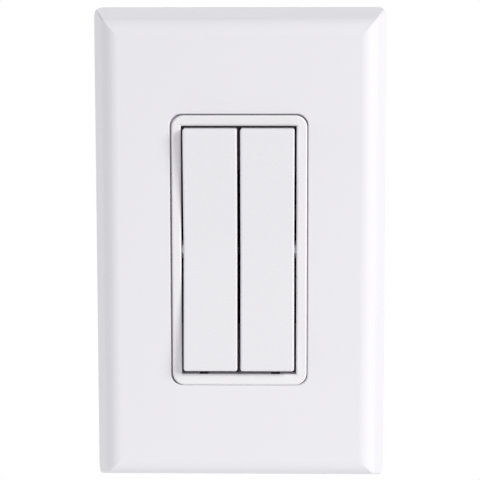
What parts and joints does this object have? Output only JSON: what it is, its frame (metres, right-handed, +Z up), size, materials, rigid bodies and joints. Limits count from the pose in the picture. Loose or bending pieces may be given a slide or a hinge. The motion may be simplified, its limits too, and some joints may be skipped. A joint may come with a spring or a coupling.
{
  "type": "wireless remote wall switch",
  "caption": "White wall plate with rolled edges framing tall side-by-side dished rockers that tilt up or down and work a self-powered radio transmitter behind them.",
  "frame": {"origin": "middle of the flat back that lies on the wall, halfway between the two box-screw holes", "axes": "+Z is up along the tall side, the rockers face -Y into the room, +X is right as seen from the room"},
  "size_m": [0.0722, 0.0153, 0.118],
  "materials": {
    "plate_plastic": "white injection-moulded polycarbonate blend, fine satin texture",
    "frame_plastic": "white injection-moulded plastic, fine satin texture",
    "rocker_plastic": "white injection-moulded plastic, smoother satin",
    "mount_plastic": "natural white moulded plastic, plain tool finish",
    "tray_plastic": "dark grey moulded plastic",
    "cover_plastic": "black moulded plastic",
    "board_laminate": "glass-fibre laminate with green solder mask",
    "chip_epoxy": "black epoxy moulding",
    "capacitor_ceramic": "fired ceramic",
    "crystal_can": "plated steel can",
    "antenna_strip": "tinned copper alloy strip",
    "contact_silicone": "translucent grey moulded silicone",
    "core_iron": "annealed soft iron",
    "magnet_nickel": "nickel-plated sintered magnet",
    "bobbin_plastic": "natural polyester moulding",
    "winding_copper": "enamelled copper wire",
    "pin_steel": "ground steel",
    "spring_steel": "hardened stainless strip",
    "rivet_brass": "upset brass",
    "screw_steel": "zinc-plated steel"
  },
  "bodies": {
    "housing": {"wall_plate": "plate_plastic", "mounting_plate": "mount_plastic", "rocker_frame": "frame_plastic", "frame_screws": "screw_steel", "module_tray": "tray_plastic", "module_cover": "cover_plastic", "circuit_board": "board_laminate", "radio_chip": "chip_epoxy", "storage_capacitors": "capacitor_ceramic", "rectifier": "chip_epoxy", "crystal": "crystal_can", "antenna": "antenna_strip", "contact_mat_left": "contact_silicone", "contact_mat_right": "contact_silicone", "core_yoke": "core_iron", "coil_bobbin_upper": "bobbin_plastic", "coil_bobbin_lower": "bobbin_plastic", "coil_winding_upper": "winding_copper", "coil_winding_lower": "winding_copper", "magnet": "magnet_nickel", "armature_pin": "pin_steel"},
    "left_rocker": {"rocker_left": "rocker_plastic"},
    "right_rocker": {"rocker_right": "rocker_plastic"},
    "see_saw": {"armature": "core_iron", "energy_bow": "spring_steel", "bow_rivets": "rivet_brass"}
  },
  "joints": [
    {"name": "rocker_left_tilt", "type": "hinge", "parent": "housing", "child": "left_rocker", "pos_m": [-0.00711, -0.0105, 0.00036], "axis": [1, 0, 0], "range_deg": [-4.5, 4.5], "stiffness_Nm_per_rad": 1.2, "deforming": ["contact_mat_left"]},
    {"name": "rocker_right_tilt", "type": "hinge", "parent": "housing", "child": "right_rocker", "pos_m": [0.00679, -0.0105, 0.00036], "axis": [1, 0, 0], "range_deg": [-4.5, 4.5], "stiffness_Nm_per_rad": 1.2, "deforming": ["contact_mat_right"]},
    {"name": "armature_tilt", "type": "hinge", "parent": "housing", "child": "see_saw", "pos_m": [0, -0.0062, 0], "axis": [1, 0, 0], "range_deg": [-2, 2], "deforming": ["energy_bow"]}
  ]
}
